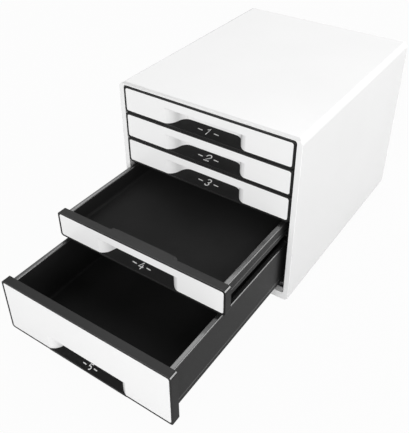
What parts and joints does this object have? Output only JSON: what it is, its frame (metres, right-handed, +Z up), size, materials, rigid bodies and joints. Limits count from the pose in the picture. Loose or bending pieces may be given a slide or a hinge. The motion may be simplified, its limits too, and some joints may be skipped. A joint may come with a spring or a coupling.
{
  "type": "desktop mini drawers",
  "caption": "Desktop cabinet of pull-out drawers in a white glossy housing: shallow drawers above a deep one, dark trays, white fronts with finger pockets and label cards.",
  "frame": {"origin": "on the standing surface, below the middle of the lower edge of the housing's front rim", "axes": "+X to the right as seen from the front, +Y from the front to the back, +Z up; the drawers pull out along -Y"},
  "size_m": [0.287, 0.6163, 0.27],
  "materials": {
    "housing": "glossy white moulded plastic",
    "panel": "glossy white moulded plastic",
    "tray": "satin black moulded plastic",
    "runner": "satin black moulded plastic",
    "label": "matt black card",
    "feet": "matt dark rubber"
  },
  "bodies": {
    "cabinet": {"housing_shell": "housing", "back_panel": "housing", "runner_left": "runner", "runner_right": "runner", "foot_front_left": "feet", "foot_front_right": "feet", "foot_rear_left": "feet", "foot_rear_right": "feet"},
    "drawer_1": {"tray_1": "tray", "front_panel_1": "panel", "label_card_1": "label"},
    "drawer_2": {"tray_2": "tray", "front_panel_2": "panel", "label_card_2": "label"},
    "drawer_3": {"tray_3": "tray", "front_panel_3": "panel", "label_card_3": "label"},
    "drawer_4": {"tray_4": "tray", "front_panel_4": "panel", "label_card_4": "label"},
    "drawer_5": {"tray_5": "tray", "front_panel_5": "panel", "label_card_5": "label"}
  },
  "joints": [
    {"name": "drawer_1_slide", "type": "slide", "parent": "cabinet", "child": "drawer_1", "axis": [0, -1, 0], "range_m": [0, 0.275]},
    {"name": "drawer_2_slide", "type": "slide", "parent": "cabinet", "child": "drawer_2", "axis": [0, -1, 0], "range_m": [0, 0.275]},
    {"name": "drawer_3_slide", "type": "slide", "parent": "cabinet", "child": "drawer_3", "axis": [0, -1, 0], "range_m": [0, 0.275]},
    {"name": "drawer_4_slide", "type": "slide", "parent": "cabinet", "child": "drawer_4", "axis": [0, -1, 0], "range_m": [-0.1512, 0.1238]},
    {"name": "drawer_5_slide", "type": "slide", "parent": "cabinet", "child": "drawer_5", "axis": [0, -1, 0], "range_m": [-0.2582, 0.0168]}
  ]
}
